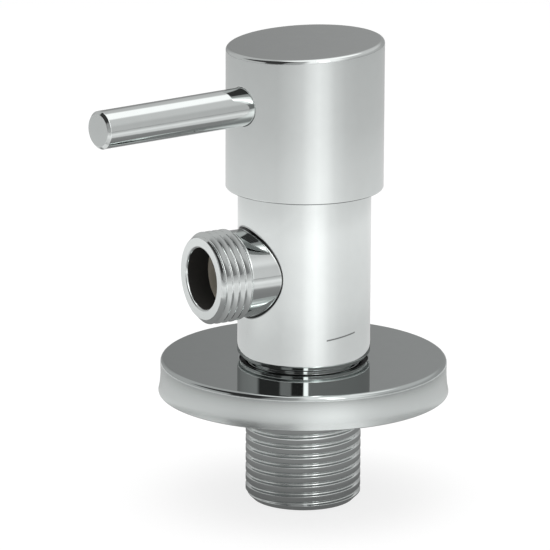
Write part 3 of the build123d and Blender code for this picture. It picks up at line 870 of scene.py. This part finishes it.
# %% Materials of the inner pieces
def make_grain():
    """Moulded or fired stuff: a tone mottled between two colours, uneven roughness and a small grain."""
    tree, given, made = group("moulded_grain", {
        "Dark": COLOUR, "Pale": COLOUR, "Smooth": FLOAT, "Rough": FLOAT, "Grain": FLOAT})
    place = add(tree, "TexCoord").outputs["Object"]
    mottle = add(tree, "TexNoise", Vector=place, Scale=900.0, Detail=4.0, Roughness=0.6)
    feed(tree, made["Colour"], blend(tree, mottle, given["Dark"], given["Pale"]))
    feed(tree, made["Roughness"], span(tree, mottle, given["Smooth"], given["Rough"]))
    feed(tree, made["Height"], add(tree, "TexVoronoi", Vector=place, Scale=given["Grain"]))
    return tree


grained = make_grain()


def moulded(name, dark, pale, smooth, rough, grain, microns):
    """A rubber, plastic or ceramic on the grain group, with grains some microns deep."""
    return on_group(grained, name, pale, microns * 0.001 * MM, Dark=(*dark, 1), Pale=(*pale, 1),
                    Smooth=smooth, Rough=rough, Grain=grain)


inner_finishes = {
    "cartridge_brass": metal("turned_brass", (0.66, 0.53, 0.30), 0.18, 0.34, 0.3, 400.0, TURNED, 0.35),
    "spring_steel": metal("spring_steel", (0.56, 0.57, 0.57), 0.16, 0.32, 0.4, 500.0, TURNED, 0.2),
    "seal_rubber": moulded("seal_rubber", (0.016, 0.016, 0.017), (0.045, 0.044, 0.042), 0.42, 0.68, 3600,
                           10),
    "gasket_rubber": moulded("gasket_rubber", (0.11, 0.02, 0.012), (0.2, 0.05, 0.03), 0.5, 0.75, 3000, 12),
    "disc_ceramic": moulded("fired_ceramic", (0.74, 0.72, 0.66), (0.86, 0.85, 0.81), 0.1, 0.24, 6000, 2),
    "washer_plastic": moulded("waxy_plastic", (0.62, 0.62, 0.58), (0.72, 0.72, 0.69), 0.34, 0.5, 2500, 4),
}
for name, node in frame["nodes"].items():
    for place in node.material_slots:
        wanted = inner_finishes.get(place.material.name.split(".")[0])
        if wanted:
            place.material = wanted
            print(name, "is now", wanted.name)

# %% [markdown]
# ## The studio
#
# A mirror shows its surroundings, so chrome is lit by what stands round it. Here that is a dome which only
# reflections see: grey walls, dark cloth on the camera's left, a bright sheet on its right, and a soft lamp
# box overhead. Mirror images within mirror images are duller in the photograph, so the dome has a second
# set of values for those. Stops are (degrees from the camera, brightness), counted rightwards.

# %% Studio dome
CAMERA_AZIMUTH = radians(-30)
DOME_RADIUS = 0.9
LAMP = radians(130), radians(78)
LAMP_GLOW = 1.15
LAMP_EDGE = 22, 29
RISE_SPREAD = 14
INNER_START = 19
low_stops = [
    (-180, 0.315), (-176.7, 0.28), (-165, 0.28), (-140, 0.5), (-64, 0.5), (-58, 0.2), (-36, 0.2),
    (-30, 0.4), (-10, 0.4), (4, 0.9), (40, 0.9), (62, 0.55), (75, 0.46), (120, 0.46), (150, 0.38),
    (176.7, 0.35), (180, 0.315)]
high_stops = [
    (-180, 0.5), (-112, 0.5), (-106, 0.04), (-36, 0.04), (-30, 0.3), (-6, 0.4), (6, 1.1), (19, 1.1),
    (22, 3.5), (33, 3.5), (36, 1.1), (50, 1.1), (72, 0.6), (120, 0.62), (150, 0.62), (165, 0.56), (180, 0.5)]
inner_stops = [
    (-180, 0.17), (-151, 0.17), (-131, 0.22), (-90, 0.26), (-82, 0.03), (-43.5, 0.03), (-39, 0.21),
    (-23, 0.2), (-19.5, 0.02), (-0.5, 0.02), (0.8, 1.6), (7, 1.6), (8.5, 0.2), (127, 0.165), (180, 0.165)]
start_stops = [(-180, 24), (-64, 22), (-56, 4), (-20, 4), (0, 20), (180, 20)]


def read_stops(stops, places):
    """Values at some places, straight between stops given as (place, value)."""
    return np.interp(places, *np.transpose(stops))


def eased(value, low, high):
    """0 below low and 1 above high, with a smooth step between them."""
    share = np.clip((value - low) / (high - low), 0, 1)
    return share * share * (3 - 2 * share)


def towards(turn, rise):
    """Unit vectors for directions given by turn and rise."""
    level = np.cos(rise)
    return np.stack((level * np.cos(turn), level * np.sin(turn), np.sin(rise) + 0 * turn), axis=-1)


def painted(name, points, closed, values):
    """Mesh of one grid with a brightness kept at each of its corners, for its material to read."""
    rows, columns = points.shape[:2]
    mesh = bpy.data.meshes.new(name)
    mesh.from_pydata(points.reshape(-1, 3), [], quads(rows, columns, closed))
    for label, brightness in values.items():
        store = mesh.attributes.new(label, "FLOAT", "POINT")
        flat = np.broadcast_to(brightness, (rows, columns)).reshape(-1)
        store.data.foreach_set("value", flat.astype(np.float32))
    print(name, "has", len(mesh.polygons), "faces")
    return placed(name, mesh)


def cleared(block):
    """Node tree of a new material or world, with nothing in it."""
    block.use_nodes = True
    block.node_tree.nodes.clear()
    return block.node_tree


def stored(tree, label):
    """Socket that reads one of a mesh's own attributes."""
    return add(tree, "Attribute", attribute_name=label).outputs["Fac"]


def glowing(name, first, second):
    """Material that gives out one attribute's brightness to first reflections, and another's to later ones.

    Where the mesh has an attribute called thin, that share of the rays goes through.
    """
    material = bpy.data.materials.new(name)
    tree = cleared(material)
    later = maths(tree, "GREATER_THAN", add(tree, "LightPath").outputs["Ray Depth"], 1.5)
    glow = add(tree, "Emission", Strength=span(tree, later, stored(tree, first), stored(tree, second)))
    veil = add(tree, "MixShader", stored(tree, "thin"), glow, add(tree, "BsdfTransparent"))
    add(tree, "OutputMaterial", Surface=veil)
    return material


bearings = np.arange(-180, 180, 1.0)
turns = np.radians(bearings)
rises = np.radians(np.arange(-18, 91, 1.5))[:, None]
low, high, inner, low_start = (read_stops(stops, bearings)
                               for stops in (low_stops, high_stops, inner_stops, start_stops))
off_lamp = np.degrees(np.arccos(np.clip(towards(turns, rises) @ towards(*LAMP), -1, 1)))
lamp = 1 - eased(off_lamp, *LAMP_EDGE)
glows = {}
for label, near, start in (("first", low, low_start), ("second", inner, INNER_START)):
    glow = near + (high - near) * eased(np.degrees(rises), start, start + RISE_SPREAD)
    glows[label] = glow + (LAMP_GLOW - glow) * lamp
dome = painted("studio_dome", DOME_RADIUS * towards(CAMERA_AZIMUTH + turns, rises), True, glows)
dome.data.materials.append(glowing("studio_glow", "first", "second"))

# %% [markdown]
# Below the dome lies a pale table. Since reflections leave the spout out, a small wall closes the barrel
# there for them alone. A pale card with soft edges lights the spout's thread from below.

# %% Table, wall and card
GAP = 0.02 * MM
WALL_HALF_TURN = 0.72
WALL_HALF_HEIGHT = 8.2 * MM
CARD_LEVEL = 24.8 * MM
CARD_START = -20 * MM, -6 * MM  # to the camera's right, and towards it
CARD_SIZE = -84 * MM, 60 * MM
CARD_GLOW = 0.68, 0.87
CARD_FADE = 0.3
# Painted light and shade on the table, seen only in reflections: painted shade in a disc round the base,
# then painted light that rises and falls off with distance. Stops are (distance from the middle,
# brightness).
table_stops = [
    (0, 0.12), (0.078, 0.12), (0.095, 0.70), (0.115, 0.66), (0.128, 0.67), (0.147, 0.77), (0.207, 0.89),
    (0.227, 0.757), (0.255, 0.74), (0.284, 0.70), (0.306, 0.64), (0.5, 0.6), (1.5, 0.5)]
# A painted streak of light on the table, seen only in reflections, given as a glow by degrees from the
# camera.
beam_stops = [
    (-180, 0), (-40, 0), (-16, 0.1), (-4, 0.17), (7, 0.32), (19, 0.42), (31, 0.33), (43, 0.15), (60, 0.04),
    (80, 0), (180, 0)]
reach_stops = [(0, 0), (0.05, 0), (0.12, 1), (2.0, 1)]

table_radii = np.concatenate(((2.0, 1.0, 0.7, 0.5), np.linspace(0.4, 0, 41)))
radii = table_radii[:, None]
beam = read_stops(beam_stops, bearings) * read_stops(reach_stops, radii)
# A painted glow in the disc round the base, which lifts the painted shade there evenly in reflections.
near_glow = 0.12 * (1 - eased(radii, 0.075, 0.09))
table = painted("table", spin(line(table_radii, -GAP), CAMERA_AZIMUTH + turns), True, {
    "paper": read_stops(table_stops, radii), "beam": beam + near_glow})

wall_heights = spout_level + WALL_HALF_HEIGHT * np.linspace(-1, 1, 25)
wall_angles = spout_azimuth + WALL_HALF_TURN * np.linspace(-1, 1, 49)
plug = painted("closed_wall", spin(line(barrel_radius - GAP, wall_heights), wall_angles), False, {})
plug.data.materials.append(chrome_body)

steps = np.linspace(0, 1, 17)
fade = eased(steps, 0, CARD_FADE) - eased(steps, 1 - CARD_FADE, 1)
out = CARD_START[0] + CARD_SIZE[0] * steps[:, None]
across = CARD_START[1] + CARD_SIZE[1] * steps
card_grid = np.stack((across * cos(CAMERA_AZIMUTH) - out * sin(CAMERA_AZIMUTH),
                      across * sin(CAMERA_AZIMUTH) + out * cos(CAMERA_AZIMUTH),
                      0 * across * out + CARD_LEVEL), axis=-1)
card = painted("low_card", card_grid, False, {
    "glow": np.interp(steps, (0, 1), CARD_GLOW)[:, None], "thin": 1 - fade[:, None] * fade})
card.data.materials.append(glowing("card_glow", "glow", "glow"))

for thing in (dome, plug, card):
    for way in ("camera", "diffuse", "transmission", "volume_scatter", "shadow"):
        setattr(thing, "visible_" + way, False)

# %% [markdown]
# The photograph is cut out on pure white. The table looks white to the camera, apart from the object's soft
# shadow. For the reflections it shows painted light and shade: a painted shade in a disc round the base,
# painted light that rises and then falls off with distance, and a painted streak of light. From underneath
# it isn't there.

# %% Table material
WHITE = (0.26, 0.26, 0.26, 1)
paper = bpy.data.materials.new("table_paper")
tree = cleared(paper)
fibre = add(tree, "TexNoise", Vector=add(tree, "TexCoord").outputs["Object"], Scale=225.0, Detail=3.0)
# Reflections see the table's painted light and shade with a slight fibre grain, plus the painted glow of the
# streak.
grey = maths(tree, "MULTIPLY", span(tree, fibre, 0.98, 1.02), stored(tree, "paper"))
mirrored = add(tree, "AddShader", add(tree, "BsdfDiffuse", Color=grey),
               add(tree, "Emission", Strength=stored(tree, "beam")))
direct = add(tree, "AddShader", add(tree, "BsdfDiffuse", Color=WHITE), add(tree, "Emission", Strength=0.8))
by_ray = add(tree, "MixShader", add(tree, "LightPath").outputs["Is Camera Ray"], mirrored, direct)
below = add(tree, "NewGeometry").outputs["Backfacing"]
add(tree, "OutputMaterial", Surface=add(tree, "MixShader", below, by_ray, add(tree, "BsdfTransparent")))
table.data.materials.append(paper)

# %% [markdown]
# The overhead light and the grey world together light a level surface to about its own colour. To the
# camera and in mirrors the world is white.

# %% Light and world
SKY = 0.4
OVERHEAD_SIZE = 0.8
OVERHEAD_HEIGHT = 0.62
OVERHEAD_BRIGHTNESS = 1.7
overhead_data = bpy.data.lights.new("overhead", "AREA")
overhead_data.shape = "SQUARE"
overhead_data.size = OVERHEAD_SIZE
overhead_data.energy = OVERHEAD_BRIGHTNESS * pi * OVERHEAD_SIZE**2
overhead = placed("overhead", overhead_data)
overhead.location = (0, 0, OVERHEAD_HEIGHT)
overhead.visible_camera = False
overhead.visible_glossy = False

world = bpy.data.worlds.new("studio")
bpy.context.scene.world = world
tree = cleared(world)
rays = add(tree, "LightPath").outputs
seen = maths(tree, "MAXIMUM", rays["Is Camera Ray"], rays["Is Glossy Ray"])
seen = maths(tree, "MAXIMUM", seen, rays["Is Transmission Ray"])
soft, bright = (add(tree, "Background", Color=(1, 1, 1, 1), Strength=strength) for strength in (SKY, 1.0))
add(tree, "OutputWorld", Surface=add(tree, "MixShader", seen, soft, bright))

# %% [markdown]
# The camera was fitted to outline points of the photograph. It is far off, as the nearly parallel edges
# show, and looks 15 degrees down.

# %% Camera
CAMERA_RISE = radians(15.13)
CAMERA_ROLL = radians(0.23)
CAMERA_DISTANCE = 903.4 * MM
AIM_RIGHT = -5.242 * MM
AIM_HEIGHT = 41.609 * MM
SENSOR_WIDTH = 36
PICTURE_WIDTH = 550
FOCAL_PIXELS = 5000
right = Vector((-sin(CAMERA_AZIMUTH), cos(CAMERA_AZIMUTH), 0))
back = Vector(towards(CAMERA_AZIMUTH, CAMERA_RISE))
up = back.cross(right)
turned_right = right * cos(CAMERA_ROLL) + up * sin(CAMERA_ROLL)
turned_up = up * cos(CAMERA_ROLL) - right * sin(CAMERA_ROLL)
camera_data = bpy.data.cameras.new("camera")
camera_data.sensor_width = SENSOR_WIDTH
camera_data.lens = FOCAL_PIXELS / PICTURE_WIDTH * SENSOR_WIDTH
camera = placed("camera", camera_data)
camera.matrix_world = Matrix((turned_right, turned_up, back)).transposed().to_4x4()
camera.location = right * AIM_RIGHT + Vector((0, 0, AIM_HEIGHT)) + back * CAMERA_DISTANCE
bpy.context.scene.camera = camera
bpy.context.scene.view_settings.view_transform = "Standard"
print("the lens is", round(camera_data.lens, 1), "mm long")
